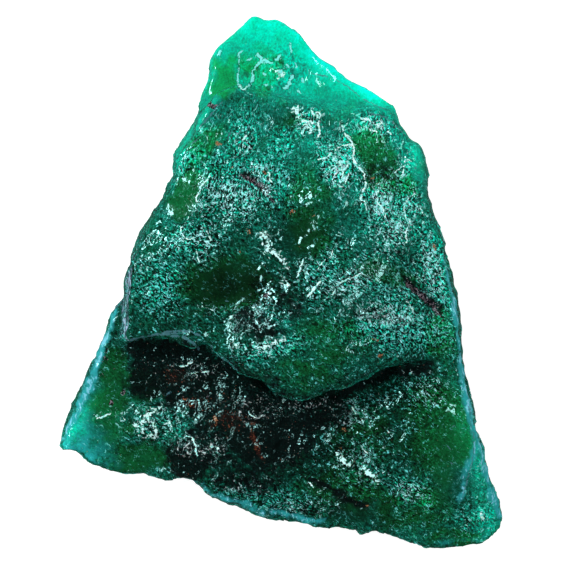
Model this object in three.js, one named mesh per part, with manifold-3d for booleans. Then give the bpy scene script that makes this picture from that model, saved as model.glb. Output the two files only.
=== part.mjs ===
// Rough emerald: one loose lump of broken crystal, lying on the flat break of its underside.
// Millimetres. X runs to the right and Y to the top of the broad face, Z is up from the surface it lies on.
import * as THREE from "three";
import { ImprovedNoise } from "three/addons/math/ImprovedNoise.js";
import { mergeVertices } from "three/addons/utils/BufferGeometryUtils.js";
import Module from "manifold-3d";

const wasm = await Module();
wasm.setup();

// Driving dimensions. Heights are above the surface that the stone lies on.
const STONE_WIDTH = 44.9; // tip of the left tongue to the lower right corner
const STONE_LENGTH = 53.7; // peak of the lip to the foot
const SUMMIT_HEIGHT = 15.6; // highest swell of the broad face
const LEDGE_FOOT_HEIGHT = 9.3; // rough ground at the foot of the overhanging ledge
const LIP_HEIGHT = 8.4; // thin translucent lip at the top end
const EQUATOR_HEIGHT = 5.8; // the wall is widest here
const UPPER_TAPER = 0.007; // inward lean of the wall above its widest line, share of radius per mm
const LOWER_TAPER = 0.022; // inward lean of the wall below it
const FACE_CELL = 1.1; // size of the flat breaks on the upper faces
const UNDER_CELL = 2.2; // and on the underside

// The whole stone seen from above, clockwise from the left end of the lip.
const leftRimOfLip = [
  [-10.6, 10.9], [-10.7, 11.8], [-10.5, 13.1], [-9.9, 14.0], [-9.1, 15.3], [-8.4, 16.3],
  [-8.0, 17.5], [-7.5, 18.8], [-7.0, 20.1], [-6.8, 21.2], [-6.9, 22.2], [-6.7, 22.9],
  [-6.0, 23.8], [-5.0, 24.7], [-4.2, 25.3], [-3.5, 25.8],
];
const twinPeak = [
  [-3.1, 26.5], [-2.5, 26.8], [-2.0, 26.5], [-1.4, 26.2], [-0.8, 26.35], [0.0, 26.3],
];
const slopingRimOfLip = [
  [0.7, 25.9], [1.3, 25.4], [2.0, 24.9], [2.5, 24.2], [3.3, 23.3], [4.0, 22.5],
  [5.0, 21.8], [6.2, 20.9], [6.9, 20.2], [8.1, 19.6], [9.1, 19.2], [10.2, 18.5],
  [11.0, 17.9], [11.4, 17.8], [11.7, 17.1], [11.9, 15.8], [12.4, 15.1], [12.8, 14.3],
];
const rightShoulder = [
  [12.9, 13.8], [13.6, 13.8], [14.2, 12.9], [14.5, 11.7], [14.7, 10.4], [14.7, 9.2],
  [15.1, 7.9], [15.3, 6.7], [15.8, 5.5], [16.4, 4.2], [16.5, 3.1], [16.7, 1.9],
  [17.1, 0.8], [17.3, -0.5], [17.7, -1.5], [17.8, -4.0], [18.0, -5.5], [18.2, -7.2],
];
const rightFlank = [
  [18.3, -9.7], [18.6, -10.8], [18.9, -12.0], [19.2, -13.2], [19.6, -14.7], [20.0, -16.3],
  [20.4, -18.0], [20.8, -19.9], [21.4, -21.0], [22.1, -22.2], [22.4, -23.4], [22.5, -24.4],
];
const foot = [
  [22.1, -25.2], [21.2, -26.0], [20.0, -26.6], [17.9, -26.8], [16.3, -27.0], [14.6, -26.8],
  [13.0, -26.5], [11.7, -26.0], [10.3, -25.4], [9.5, -25.2], [8.5, -25.5], [6.9, -25.1],
  [5.0, -24.8], [2.4, -24.4], [0.5, -24.2], [-1.1, -23.9], [-2.7, -23.5], [-4.0, -22.7],
  [-5.3, -22.5], [-7.1, -21.4], [-8.8, -19.9], [-10.1, -20.0], [-11.4, -20.2], [-12.7, -19.8],
  [-13.6, -19.4], [-15.0, -19.5], [-16.3, -19.6], [-17.5, -19.0], [-18.8, -18.4],
];
const leftTongue = [
  [-19.9, -17.6], [-20.7, -17.0], [-21.5, -17.1], [-22.3, -17.0], [-22.2, -16.1],
  [-22.4, -15.5], [-22.0, -14.5], [-21.7, -13.6], [-21.1, -12.5], [-20.4, -11.3],
  [-19.7, -10.3], [-19.3, -9.0], [-18.4, -7.9], [-17.9, -6.7], [-17.4, -5.8],
  [-17.2, -4.6], [-16.6, -3.3], [-16.3, -2.5],
];
const leftFlank = [
  [-15.6, -2.0], [-15.5, -1.3], [-15.6, -0.7], [-15.4, 0.6], [-15.0, 1.8], [-14.5, 3.0],
  [-14.2, 4.0], [-13.6, 5.1], [-13.0, 6.2], [-12.2, 7.5], [-11.6, 8.6], [-11.2, 9.7],
];
const stoneOutline = [
  ...leftRimOfLip, ...twinPeak, ...slopingRimOfLip, ...rightShoulder,
  ...rightFlank, ...foot, ...leftTongue, ...leftFlank,
];

// The raised broad face. Where it reaches the rim its outline runs past the stone, whose wall trims it.
const terraceStep = [
  [-6.0, 18.0], [-5.5, 18.3], [-4.8, 18.7], [-4.2, 18.9], [-3.3, 18.8], [-1.9, 18.3],
  [-0.3, 17.8], [1.4, 17.5], [3.1, 17.0], [4.9, 16.5], [6.7, 16.4], [8.3, 16.9],
  [9.9, 16.7], [11.3, 16.0],
];
const pastRightRim = [[14.5, 15.6], [20.5, 9.0], [22.0, -7.0]];
const brink = [
  [14.4, -8.0], [12.8, -7.6], [11.3, -8.2], [9.7, -8.8], [7.8, -9.6], [6.3, -10.4],
  [4.9, -10.9], [3.5, -11.4], [2.5, -11.7], [1.2, -11.6], [0.0, -11.2], [-0.9, -10.7],
  [-1.9, -9.8], [-2.9, -9.4], [-4.0, -9.0], [-4.7, -8.1], [-5.7, -7.4], [-6.8, -6.3],
  [-7.8, -5.8], [-8.2, -6.9], [-8.9, -6.3], [-10.0, -5.9], [-11.6, -5.5], [-13.1, -5.6],
  [-15.0, -6.1],
];
const pastLeftRim = [[-17.0, -5.7], [-17.0, 2.0], [-13.0, 8.9]];
const crackEdge = [
  [-10.4, 10.6], [-9.8, 12.1], [-9.2, 13.3], [-8.6, 14.0], [-8.2, 14.9], [-8.1, 15.3],
  [-7.0, 16.5], [-6.3, 17.5],
];
const broadFaceOutline = [
  ...terraceStep, ...pastRightRim, ...brink, ...pastLeftRim, ...crackEdge,
];

// Swells (rise over 0) and hollows (rise under 0) of the two upper faces: place, rise and reach.
const broadFaceLevel = SUMMIT_HEIGHT - 3.4;
const broadFaceSwells = [
  { x: 1.0, y: -3.5, rise: 3.1, reach: 9.5 }, // the middle
  { x: 5.0, y: -8.0, rise: 0.7, reach: 4.5 }, // behind the brink on the right
  { x: -9.5, y: 3.5, rise: 1.0, reach: 4.6 }, // sugary left side
  { x: 6.4, y: 9.5, rise: 1.0, reach: 4.0 }, // rippled ridge
  { x: -4.6, y: -1.4, rise: -1.7, reach: 2.9 }, // smooth hollow
  { x: 1.3, y: 3.8, rise: -1.3, reach: 2.3 }, // its small neighbour
  { x: -5.0, y: 17.5, rise: -1.9, reach: 6.5 }, // falls to the terrace step
  { x: 2.5, y: 16.8, rise: -1.6, reach: 5.0 },
  { x: 9.6, y: 15.8, rise: -3.7, reach: 5.6 }, // falls away to the lip on the right
  { x: 15.5, y: 11.0, rise: -2.4, reach: 5.0 }, // right shoulder
  { x: 18.0, y: 1.0, rise: -2.4, reach: 6.0 }, // right rim
  { x: 17.0, y: -8.8, rise: -2.6, reach: 5.4 }, // runs out into the lower right side
  { x: -13.5, y: -6.5, rise: -1.0, reach: 3.6 }, // rounded left end of the brink
  { x: -12.5, y: 8.5, rise: -1.2, reach: 4.0 }, // left rim
];
const groundSwells = [
  { x: -2.0, y: -11.0, rise: LEDGE_FOOT_HEIGHT - LIP_HEIGHT, reach: 8.0 }, // foot of the ledge
  { x: 13.5, y: -13.0, rise: 1.7, reach: 7.0 }, // lower right side
  { x: -4.0, y: -17.5, rise: 0.9, reach: 4.5 }, // lower middle
  { x: 8.0, y: -20.5, rise: 0.6, reach: 4.0 },
  { x: -9.5, y: -16.6, rise: 0.7, reach: 1.4 }, // round knob
  { x: -13.6, y: -14.2, rise: 0.9, reach: 2.0 }, // glassy boss
  { x: -10.8, y: -11.0, rise: -0.9, reach: 2.6 }, // black hollow
  { x: -21.0, y: -15.0, rise: -2.2, reach: 6.0 }, // left tongue
  { x: -15.0, y: -19.5, rise: -1.5, reach: 4.0 },
  { x: 1.0, y: -26.5, rise: -3.0, reach: 5.0 }, // bottom rim
  { x: 11.0, y: -27.5, rise: -2.2, reach: 3.6 },
  { x: 21.5, y: -26.0, rise: -2.0, reach: 5.0 }, // lower right corner
  { x: -2.0, y: 20.5, rise: -0.4, reach: 2.2 }, // dished middle of the lip
  { x: -1.0, y: 28.0, rise: -1.8, reach: 5.0 }, // peaks of the lip
  { x: 8.0, y: 21.0, rise: -1.9, reach: 4.2 }, // thin sloping rim of the lip
  { x: 12.0, y: 18.0, rise: -1.0, reach: 2.6 },
];

// Flat breaks of the underside: the way each faces in degrees from +X, how far from the middle it
// starts, and its slope.
const underBreaks = [
  { facing: 96, start: 10.5, slope: 0.35 }, // under the lip
  { facing: 34, start: 9.0, slope: 0.6 }, // under the right shoulder
  { facing: -14, start: 10.0, slope: 0.22 }, // under the right flank
  { facing: -62, start: 24.5, slope: 0.5 }, // under the lower right corner
  { facing: -104, start: 14.5, slope: 0.46 }, // under the foot
  { facing: -152, start: 12.5, slope: 0.34 }, // under the left tongue
  { facing: 168, start: 8.0, slope: 0.5 }, // under the left flank
];

const noise = new ImprovedNoise();

// Grain of a broken face: lumps of one size with half-size lumps on them, from -height to height.
function lumps(x, y, size, height, seed) {
  const coarse = noise.noise(x / size, y / size, seed);
  const fine = noise.noise((2.1 * x) / size, (2.1 * y) / size, seed + 7.3);
  return height * (coarse + 0.5 * fine);
}

// Sharp-crested ripples that run up the stone, leaning to the right, as a shear break leaves them.
function ripples(x, y, spacing, height) {
  const bend = 1.6 * noise.noise(x / 6, y / 6, 3.1);
  const phase = (x - 0.22 * y) / spacing + bend;
  return height * (1 - 2 * Math.abs(phase - Math.floor(phase) - 0.5));
}

function swellAt(x, y, level, swells) {
  return swells.reduce((height, { x: cx, y: cy, rise, reach }) => {
    const far = ((x - cx) ** 2 + (y - cy) ** 2) / reach ** 2;
    return height + rise * Math.exp(-far);
  }, level);
}

function broadFaceHeight(x, y) {
  const rippled = THREE.MathUtils.smoothstep(x, 2, 7) * THREE.MathUtils.smoothstep(y, -4, 2);
  return (
    swellAt(x, y, broadFaceLevel, broadFaceSwells) +
    lumps(x, y, 3.6, 0.45, 1.5) +
    rippled * ripples(x, y, 2.6, 0.34)
  );
}

function groundHeight(x, y) {
  const broken = THREE.MathUtils.smoothstep(-y, 4, 10);
  return (
    swellAt(x, y, LIP_HEIGHT, groundSwells) +
    lumps(x, y, 3.0, 0.22 + 0.35 * broken, 5.5)
  );
}

// The underside is flat in the middle and rises to the rim, so that thin edges stand off the surface.
function undersideHeight(x, y) {
  const rises = underBreaks.map(({ facing, start, slope }) => {
    const angle = THREE.MathUtils.degToRad(facing);
    return slope * (x * Math.cos(angle) + y * Math.sin(angle) - start);
  });
  return -0.6 + Math.max(0, ...rises) + lumps(x, y, 5.0, 0.5, 9.5);
}

// A closed solid from a geometry whose faces point out.
function solid(geometry) {
  geometry.deleteAttribute("normal");
  geometry.deleteAttribute("uv");
  const merged = mergeVertices(geometry, 1e-4);
  const mesh = new wasm.Mesh({
    numProp: 3,
    vertProperties: new Float32Array(merged.attributes.position.array),
    triVerts: new Uint32Array(merged.index.array),
  });
  return new wasm.Manifold(mesh);
}

// A block larger than the stone whose top (side 1) or bottom (side -1) is the given uneven face.
function blockWithFace(cell, side, heightAt) {
  const width = 52;
  const length = 62;
  const reach = 20;
  const columns = Math.round(width / cell);
  const rows = Math.round(length / cell);
  const block = new THREE.BoxGeometry(width, length, 2, columns, rows, 1);
  const at = block.attributes.position;
  for (let i = 0; i < at.count; i++) {
    const stray = 0.34 * cell;
    const x = at.getX(i) + 2 * stray * noise.noise(at.getX(i) * 0.83, at.getY(i) * 0.83, 11.7);
    const y = at.getY(i) + 2 * stray * noise.noise(at.getX(i) * 0.83, at.getY(i) * 0.83, 17.9);
    const isFace = at.getZ(i) * side > 0;
    at.setXYZ(i, x, y, isFace ? heightAt(x, y) : -side * reach);
  }
  return solid(block);
}

// An upright prism on an outline, its rings scaled with height by widthAt and roughened.
function wallPrism(outline, widthAt) {
  const lowest = -2;
  const highest = 18;
  const shape = new THREE.Shape(outline.map(([x, y]) => new THREE.Vector2(x, y)));
  const prism = new THREE.ExtrudeGeometry(shape, {
    depth: highest - lowest,
    steps: 10,
    bevelEnabled: false,
  });
  prism.translate(0, 0, lowest);
  const at = prism.attributes.position;
  for (let i = 0; i < at.count; i++) {
    const [x, y, z] = [at.getX(i), at.getY(i), at.getZ(i)];
    const rough = 0.12 + 0.07 * Math.abs(z - EQUATOR_HEIGHT);
    const dx = rough * noise.noise(x / 2.6, y / 2.6, z / 3.5);
    const dy = rough * noise.noise(x / 2.6, y / 2.6, z / 3.5 + 21.3);
    const width = widthAt(z);
    at.setXYZ(i, x * width + dx, y * width + dy, z);
  }
  return solid(prism);
}

function stoneWidth(z) {
  const above = Math.max(0, z - EQUATOR_HEIGHT);
  const below = Math.max(0, EQUATOR_HEIGHT - z);
  return 1 - UPPER_TAPER * above - LOWER_TAPER * below;
}

function broadFaceWidth(z) {
  return 1 + UPPER_TAPER * Math.max(0, SUMMIT_HEIGHT - 2.5 - z);
}

// The waste beyond a flat break that runs along a ridge and down through a lower point.
function beyondBreak(ridgeStart, ridgeEnd, lowerPoint) {
  const size = 40;
  const [start, end, lower] = [ridgeStart, ridgeEnd, lowerPoint].map((p) => new THREE.Vector3(...p));
  const along = end.clone().sub(start);
  const outward = lower.clone().sub(start).cross(along).normalize();
  if (outward.z < 0) outward.negate();
  const waste = new THREE.BoxGeometry(size, size, size);
  waste.translate(0, 0, size / 2);
  const turn = new THREE.Quaternion().setFromUnitVectors(new THREE.Vector3(0, 0, 1), outward);
  waste.applyQuaternion(turn);
  const middle = start.add(end).multiplyScalar(0.5);
  waste.translate(middle.x, middle.y, middle.z);
  return solid(waste);
}

// The undercut: a groove, flatter than round, that runs in under the brink.
function undercut() {
  const radius = 1.5;
  const flatness = 0.72;
  const route = [
    [-15.2, -9.0], [-13.4, -6.6], [-11.0, -5.4], [-8.4, -5.8], [-5.4, -7.0], [-3.2, -8.9],
    [-0.6, -10.3], [2.0, -11.1], [5.4, -10.1], [9.0, -8.5], [11.6, -8.2],
  ];
  const path = new THREE.CatmullRomCurve3(route.map(([x, y]) => new THREE.Vector3(x, y, 0)));
  const section = new THREE.Shape();
  section.absellipse(0, 0, radius, radius, 0, 2 * Math.PI);
  const groove = new THREE.ExtrudeGeometry(section, {
    extrudePath: path,
    steps: 36,
    curveSegments: 6,
    bevelEnabled: false,
  });
  groove.scale(1, 1, flatness);
  groove.translate(0, 0, LEDGE_FOOT_HEIGHT + 0.5 * radius);
  return solid(groove);
}

// Flat breaks that cut the rims: two points of the ridge above and one lower point of each.
const rightFlankBreak = [[18.9, -12, 9.6], [17.6, -23, 8.8], [22.4, -24.5, 5.6]];
const leftTongueBreak = [[-15.9, -3, 9.4], [-20.7, -15.5, 7.2], [-20.1, -11, 5.6]];
const leftFlankBreak = [[-14.4, 1.8, 12.6], [-15.2, -5.8, 11.0], [-15.7, -1.0, 7.0]];

const lowerBody = blockWithFace(FACE_CELL, 1, groundHeight)
  .subtract(beyondBreak(...rightFlankBreak))
  .subtract(beyondBreak(...leftTongueBreak));
const broadFace = blockWithFace(FACE_CELL, 1, broadFaceHeight)
  .intersect(wallPrism(broadFaceOutline, broadFaceWidth))
  .subtract(beyondBreak(...leftFlankBreak));
const restingPlane = new THREE.BoxGeometry(80, 80, 20);
restingPlane.translate(0, 0, -10);
const stone = lowerBody
  .add(broadFace)
  .subtract(undercut())
  .intersect(wallPrism(stoneOutline, stoneWidth))
  .intersect(blockWithFace(UNDER_CELL, -1, undersideHeight))
  .subtract(solid(restingPlane));

// The finished solid as a mesh, its box brought to the driving width and length and centred over the origin.
function stoneMesh() {
  const { numProp, vertProperties, triVerts } = stone.getMesh();
  const geometry = new THREE.BufferGeometry();
  geometry.setAttribute("position", new THREE.BufferAttribute(vertProperties, numProp));
  geometry.setIndex(new THREE.BufferAttribute(triVerts, 1));
  geometry.computeBoundingBox();
  const box = geometry.boundingBox;
  const middle = box.getCenter(new THREE.Vector3());
  const drawn = box.getSize(new THREE.Vector3());
  geometry.translate(-middle.x, -middle.y, -box.min.z);
  geometry.scale(STONE_WIDTH / drawn.x, STONE_LENGTH / drawn.y, 1);
  geometry.computeVertexNormals();
  const material = new THREE.MeshStandardMaterial({
    color: 0x14654b,
    roughness: 0.25,
    metalness: 0,
    flatShading: true,
  });
  const mesh = new THREE.Mesh(geometry, material);
  mesh.name = "rough_emerald";
  return mesh;
}

const roughEmerald = new THREE.Group();
roughEmerald.add(stoneMesh());

export default roughEmerald;
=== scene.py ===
import math

import bmesh
import bpy
import numpy as np
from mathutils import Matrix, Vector, bvhtree, noise


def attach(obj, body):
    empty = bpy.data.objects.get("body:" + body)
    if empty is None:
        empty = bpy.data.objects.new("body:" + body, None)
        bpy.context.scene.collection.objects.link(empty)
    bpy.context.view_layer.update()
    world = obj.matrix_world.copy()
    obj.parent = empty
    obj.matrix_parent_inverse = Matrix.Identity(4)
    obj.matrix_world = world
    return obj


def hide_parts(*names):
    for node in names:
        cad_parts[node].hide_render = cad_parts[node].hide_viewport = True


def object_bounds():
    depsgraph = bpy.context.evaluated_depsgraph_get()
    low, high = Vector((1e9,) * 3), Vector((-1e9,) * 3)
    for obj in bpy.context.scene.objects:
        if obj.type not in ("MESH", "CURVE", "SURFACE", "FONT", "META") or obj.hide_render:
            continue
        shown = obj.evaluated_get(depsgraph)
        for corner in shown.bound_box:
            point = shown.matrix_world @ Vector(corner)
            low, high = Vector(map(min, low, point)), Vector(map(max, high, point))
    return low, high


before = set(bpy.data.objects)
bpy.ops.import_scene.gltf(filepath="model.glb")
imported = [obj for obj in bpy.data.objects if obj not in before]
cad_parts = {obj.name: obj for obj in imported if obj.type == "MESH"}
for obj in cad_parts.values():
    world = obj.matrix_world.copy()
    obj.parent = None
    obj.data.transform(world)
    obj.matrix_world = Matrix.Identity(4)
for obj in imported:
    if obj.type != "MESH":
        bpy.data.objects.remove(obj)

MM = 0.001
cad_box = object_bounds()


# The stone's form: one loose lump of broken green crystal. Its broad forms are the CAD solid's, remeshed
# finely enough to carry the fracture relief, with the finest mesh on the faces that look up.
VOXEL = 0.36 * MM
UPWARD = 0.25  # least upward share of a normal where the mesh is finest
SAME_PLACE = 0.001 * MM


def merged_copy(node):
    """The CAD solid's mesh with its loose triangles joined."""
    form = bmesh.new()
    form.from_mesh(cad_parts[node].data)
    bmesh.ops.remove_doubles(form, verts=form.verts, dist=SAME_PLACE)
    mesh = bpy.data.meshes.new(node)
    form.to_mesh(mesh)
    form.free()
    return mesh


def remeshed(mesh, voxel):
    """The same form in small even faces."""
    piece = bpy.data.objects.new("draft", mesh)
    bpy.context.scene.collection.objects.link(piece)
    skin = piece.modifiers.new("skin", "REMESH")
    skin.mode = "VOXEL"
    skin.voxel_size = voxel
    bpy.context.view_layer.update()
    evaluated = piece.evaluated_get(bpy.context.evaluated_depsgraph_get())
    result = bpy.data.meshes.new_from_object(evaluated)
    bpy.data.objects.remove(piece)
    return result


def relax(form, verts, rounds):
    """Softens what the points make, a little in each round."""
    every_way = {"use_axis_x": True, "use_axis_y": True, "use_axis_z": True}
    for _ in range(rounds):
        bmesh.ops.smooth_vert(form, verts=verts, factor=0.5, **every_way)


emerald_mesh = remeshed(merged_copy("rough_emerald"), VOXEL)
form = bmesh.new()
form.from_mesh(emerald_mesh)
relax(form, form.verts, rounds=3)
form.normal_update()
upward_edges = [
    edge for edge in form.edges if min(vert.normal.z for vert in edge.verts) > UPWARD
]
bmesh.ops.subdivide_edges(form, edges=upward_edges, cuts=1, use_grid_fill=True)
relax(form, form.verts, rounds=2)
form.normal_update()

# The mesh's points in millimetres, the way that each looks, and how much stone lies behind and above it.
# A point's rays start inside the stone, clear of the face that it lies in.
places = np.array([vert.co for vert in form.verts]) / MM
normals = np.array([vert.normal for vert in form.verts])
smooth_skin = bvhtree.BVHTree.FromBMesh(form)
JUST_INSIDE = 0.05 * MM
WELL_INSIDE = 0.30 * MM
MOST = 20.0  # a distance that counts as far away, in millimetres
UP = Vector((0, 0, 1))


def smoothstep(low, high, value):
    """0 at low, 1 at high, and a smooth rise between."""
    t = np.clip((value - low) / (high - low), 0, 1)
    return t * t * (3 - 2 * t)


def at_each(formula):
    """A formula's value at each of the mesh's points."""
    return np.array([formula(Vector(place)) for place in places])


def stone_towards(vert, way, depth_in):
    """How much stone lies one way of a place that is a little way in from the surface."""
    start = vert.co - vert.normal * depth_in
    hit = smooth_skin.ray_cast(start, way)[0]
    return MOST if hit is None else (hit - start).length / MM


def lumps(size, seed):
    """Rounded lumps of one size in millimetres, from about -0.5 to 0.5."""
    return at_each(lambda place: noise.noise(place / size + Vector((seed, 0, 0))))


thickness = np.array([stone_towards(vert, -vert.normal, JUST_INSIDE) for vert in form.verts])
above = np.array([stone_towards(vert, UP, WELL_INSIDE) for vert in form.verts])
depth = above + np.array([stone_towards(vert, -UP, WELL_INSIDE) for vert in form.verts])
x, y, z = places.T
facing_up = smoothstep(0.05, 0.45, normals[:, 2])
flank = 1 - facing_up


# Where each kind of surface lies. Marks are drawn on the stone from above, in millimetres, and their edges
# wander as the edges of breaks and stains do, the same way in each run.
noise.seed_set(3)


def wander(place):
    """How far a drawn edge strays: bends of about half a millimetre, with smaller ones on them."""
    return 0.55 * noise.noise_vector(place / 1.9) + 0.22 * noise.noise_vector(place / 0.6)


drift = at_each(wander)


def from_middle(ellipse, looseness):
    """How far each point lies from an ellipse's middle, 1 on its edge. It is middle, half sizes and turn."""
    middle_x, middle_y, half_width, half_height, turn = ellipse
    lean = math.radians(turn)
    from_x = x + looseness * drift[:, 0] - middle_x
    from_y = y + looseness * drift[:, 1] - middle_y
    to_side = (from_x * math.cos(lean) + from_y * math.sin(lean)) / half_width
    to_end = (from_y * math.cos(lean) - from_x * math.sin(lean)) / half_height
    return np.hypot(to_side, to_end)


def patches(spots, softness=0.45):
    """How strongly each point is covered by soft ellipses, each given after its strength."""
    cover = np.zeros(len(places))
    for strength, *ellipse in spots:
        inside = smoothstep(1 + softness, 1 - softness, from_middle(ellipse, 1.0))
        cover = np.maximum(cover, strength * inside)
    return cover * facing_up


def curved(line):
    """A line's points with three more between each two, so that it bends smoothly."""
    points = np.array(line)
    padded = np.vstack([2 * points[0] - points[1], points, 2 * points[-1] - points[-2]])
    bent = []
    for before, start, end, after in zip(padded, padded[1:], padded[2:], padded[3:]):
        for share in (0, 0.25, 0.5, 0.75):
            third = 3 * start - before - 3 * end + after
            second = 2 * before - 5 * start + 4 * end - after
            bent.append(start + 0.5 * share * (end - before + share * (second + share * third)))
    bent.append(points[-1])
    return np.array(bent)


def across(lines, reach, looseness=0.45):
    """How far each point lies from the nearest line, below 0 on its right.

    The second result is 1 where the point is beside the line and 0 where it is past one of its ends.
    """
    at_x = x + looseness * drift[:, 0]
    at_y = y + looseness * drift[:, 1]
    gap = np.full(len(places), MOST)
    beside = np.zeros(len(places))
    for line in lines:
        bent = curved(line)
        last = len(bent) - 2
        left, low = bent.min(axis=0) - reach
        right, high = bent.max(axis=0) + reach
        near = np.nonzero((at_x > left) & (at_x < right) & (at_y > low) & (at_y < high))[0]
        for number, ((start_x, start_y), (end_x, end_y)) in enumerate(zip(bent, bent[1:])):
            run_x, run_y = end_x - start_x, end_y - start_y
            from_x, from_y = at_x[near] - start_x, at_y[near] - start_y
            share = (from_x * run_x + from_y * run_y) / (run_x**2 + run_y**2)
            beyond = ((number == 0) & (share < 0)) | ((number == last) & (share > 1))
            share = np.clip(share, 0, 1)
            found = np.hypot(from_x - share * run_x, from_y - share * run_y)
            found = np.where(run_x * from_y < run_y * from_x, -found, found)
            closer = abs(found) < abs(gap[near])
            gap[near[closer]] = found[closer]
            beside[near[closer]] = 1 - beyond[closer]
    return gap, beside


def strokes(lines, reach, looseness=0.45):
    """1 along the lines, falling to 0 at their reach to each side."""
    return np.clip(1 - abs(across(lines, reach, looseness)[0]) / reach, 0, 1)


def hairlines(lines_of_each_width):
    """The distance across the nearest thin line, and half that line's width, 0 away from it."""
    reach = 1.0  # how far from a line its distance is kept, in millimetres
    away = 0.3  # past this its width is 0
    nearest = np.full(len(places), MOST)
    width = np.zeros(len(places))
    for half_width, lines in lines_of_each_width:
        gap, beside = across(lines, reach, looseness=0.3)
        closer = abs(gap) < abs(nearest)
        nearest = np.where(closer, gap, nearest)
        width = np.where(closer, half_width * beside * (abs(gap) < away), width)
    return nearest, width * smoothstep(0, 0.3, normals[:, 2])


# The edge of the thin lip, from left to right.
lip_edge = [
    (-10.4, 10.6), (-9.2, 13.3), (-8.1, 15.3), (-6.3, 17.5), (-4.2, 18.9), (-1.9, 18.3),
    (1.4, 17.5), (4.9, 16.5), (6.7, 16.4), (8.3, 16.9), (11.3, 16.0), (14.0, 14.5),
]
lip_edge_height = np.interp(x, [point[0] for point in lip_edge], [point[1] for point in lip_edge])
lip_softness = np.interp(x, [-6, 3], [0.6, 2.2])
lip_softness = lip_softness + 2.0 * flank
lip = smoothstep(-0.5, 1, (y - lip_edge_height + 3 * flank * lumps(3.0, seed=11.0)) / lip_softness)
lip = lip * smoothstep(9.5, 11.5, y) * (1 - flank * smoothstep(2.5, 6.5, depth))

# The brink of the overhanging ledge, from left to right.
brink = [
    (-15.3, -6.2), (-13.1, -5.6), (-11.6, -5.5), (-10.0, -5.9), (-8.9, -6.3), (-8.2, -6.9),
    (-6.8, -6.5), (-5.7, -7.4), (-4.0, -9.0), (-1.9, -9.8), (0.0, -11.2), (2.5, -11.7),
    (4.9, -10.9), (7.8, -9.6), (11.3, -8.2), (14.4, -8.0),
]
brink_height = np.interp(x, [point[0] for point in brink], [point[1] for point in brink])
below_brink = smoothstep(0.1, -0.5, y - brink_height) * smoothstep(15.5, 12.5, x)

# Pale marks, all painted highlights: glints over raised ridges, bright threads of two widths, torn highlight
# lines along the brink, and faint threads.
broad_strokes = [
    [(-0.5, 20.9), (0.1, 20.7)],
    [(1.4, 17.2), (1.8, 16.5), (2.2, 16.0), (2.9, 15.8)],
    [(3.1, 16.7), (3.8, 16.5)],
    [(6.5, 14.4), (7.0, 13.8)],
    [(-1.7, 4.7), (-1.4, 3.6), (-1.3, 2.7)],
    [(-0.9, 2.8), (-0.2, 2.3), (0.4, 1.6)],
    [(0.2, 0.1), (0.7, -0.3)],
    [(-2.0, -6.6), (-1.0, -6.2), (0.0, -5.8)],
    [(-4.6, -6.0), (-4.4, -6.3)],
    [(-14.7, -14.3), (-14.2, -14.1), (-13.6, -13.6), (-13.1, -13.1), (-12.2, -12.8)],
    [(-14.2, -14.9), (-13.4, -15.4), (-12.6, -15.1), (-12.9, -14.1), (-13.6, -13.9)],
    [(5.8, -17.3), (6.3, -17.8), (6.8, -18.1)],
    [(8.1, -18.8), (9.1, -19.5), (9.5, -19.8)],
]
middling_strokes = [
    [(18.3, -23.8), (18.6, -24.3)],
    [(-2.4, 22.9), (-2.0, 22.4), (-2.1, 22.0), (-2.7, 21.4), (-2.9, 20.9), (-2.9, 20.2),
     (-3.4, 19.3), (-3.9, 19.0), (-4.4, 19.7)],
    [(-1.7, 22.2), (-1.2, 21.9), (-0.6, 22.1), (-0.1, 22.6)],
    [(0.0, 19.5), (0.4, 19.3), (0.9, 19.9), (1.2, 20.7)],
    [(-6.2, 23.1), (-6.2, 22.6)],
    [(-0.3, 21.0), (0.1, 20.8)],
    [(3.8, 16.5), (3.75, 15.6), (3.75, 14.6), (3.5, 14.2)],
    [(6.05, 15.6), (6.15, 15.0)],
    [(6.3, 14.8), (7.0, 13.8), (7.2, 13.0), (7.05, 12.4), (7.2, 11.6), (7.85, 10.9),
     (8.3, 10.1), (8.35, 9.5), (8.0, 8.7), (7.7, 8.1)],
    [(5.9, 13.4), (5.4, 13.1), (4.7, 12.4)],
    [(7.8, 16.3), (8.6, 16.2), (9.2, 15.8), (9.9, 15.4)],
    [(10.5, 14.9), (10.9, 14.6)],
    [(-2.1, 4.4), (-1.9, 3.5)],
    [(3.9, 0.0), (3.1, -0.9), (2.4, -1.6)],
    [(2.2, 2.1), (1.8, 1.4), (1.6, 0.6)],
    [(-7.9, -2.4), (-6.7, -2.8)],
    [(-4.8, -3.3), (-5.2, -3.8)],
    [(-3.9, 14.2), (-4.1, 13.6), (-4.4, 12.8)],
    [(-3.4, 14.5), (-3.9, 13.9)],
    [(-10.2, -8.5), (-9.6, -8.5), (-8.9, -8.0)],
    [(-18.5, -13.8), (-17.9, -13.6), (-17.2, -13.3)],
    [(-11.7, -14.3), (-11.1, -14.1), (-10.9, -14.6)],
    [(-9.4, -15.4), (-8.8, -15.7), (-8.5, -16.4), (-8.4, -17.3)],
    [(-7.1, -16.4), (-6.3, -16.6)],
    [(7.0, -12.6), (7.5, -13.3)],
    [(6.3, -13.5), (6.4, -13.7)],
    [(8.0, -13.6), (8.3, -14.3)],
    [(8.0, -16.6), (8.6, -17.3)],
    [(19.9, -23.1), (20.4, -24.3)],
]
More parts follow.
